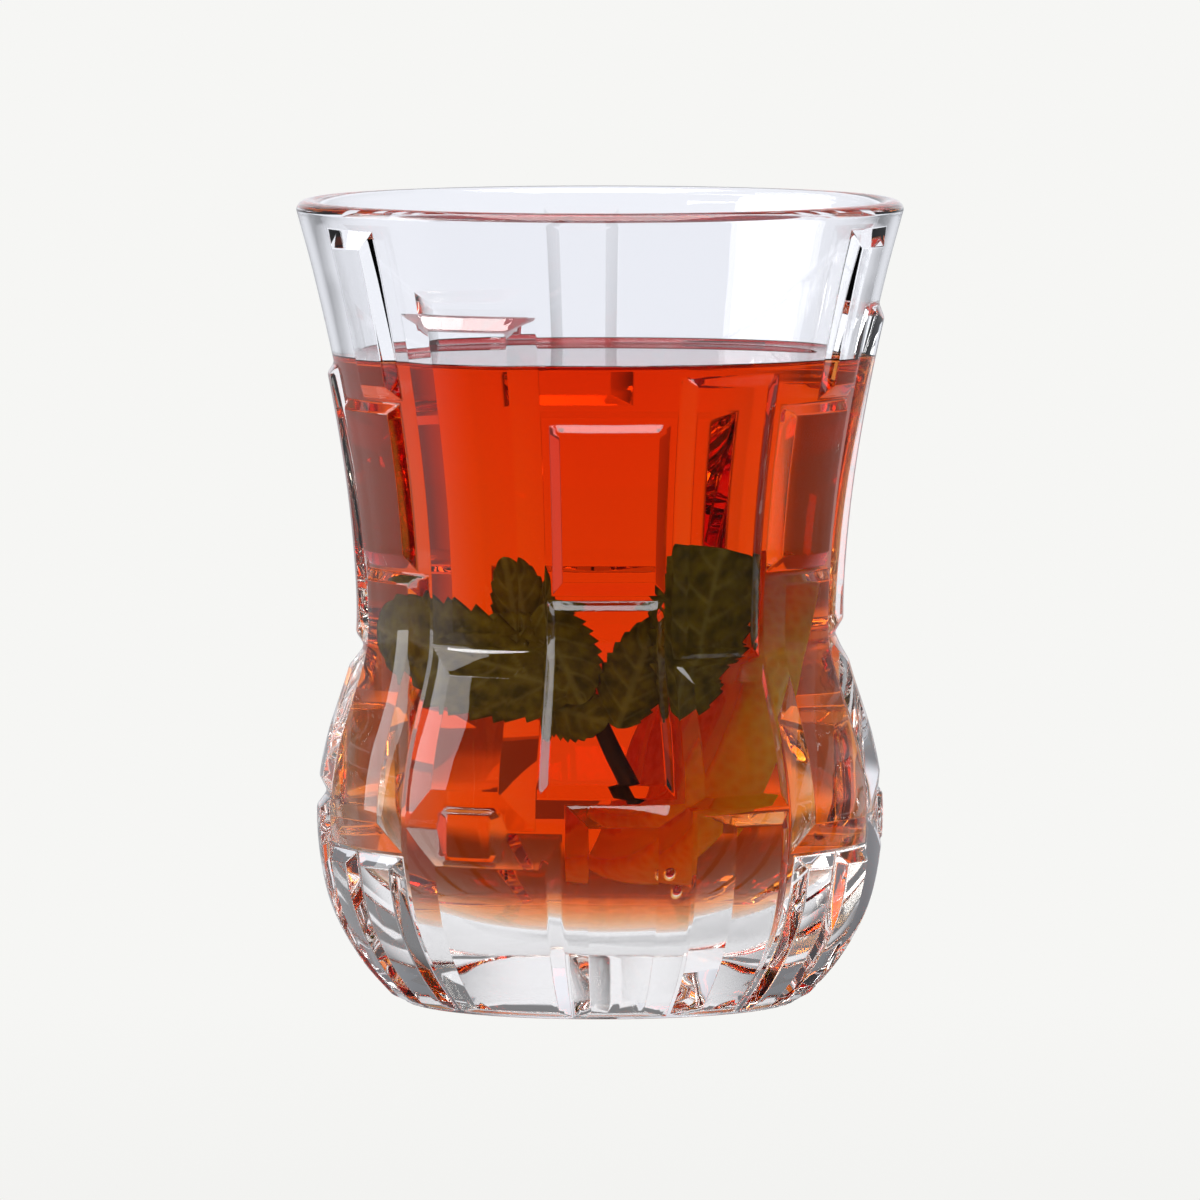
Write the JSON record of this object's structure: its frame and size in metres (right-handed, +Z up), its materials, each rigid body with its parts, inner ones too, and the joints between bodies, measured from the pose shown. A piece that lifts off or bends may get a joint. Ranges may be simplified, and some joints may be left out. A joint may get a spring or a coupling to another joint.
{
  "type": "turkish tea glass",
  "caption": "Waisted clear pressed tea glass with raised bevelled blocks, filled with black tea to a little below the rim, to drink from.",
  "frame": {"origin": "middle of the foot, on the surface that the glass stands on", "axes": "+Z up along the glass's axis, -Y towards the viewer of the picture, +X to the viewer's right"},
  "size_m": [0.0642, 0.0642, 0.085],
  "materials": {
    "clear_glass": "fire-polished, clear",
    "black_tea": "clear amber-red liquid",
    "mint_leaf": "satin dark green leaf",
    "lemon": "wet yellow peel and flesh"
  },
  "bodies": {
    "root": {"glass": "clear_glass", "tea": "black_tea"}
  },
  "joints": []
}
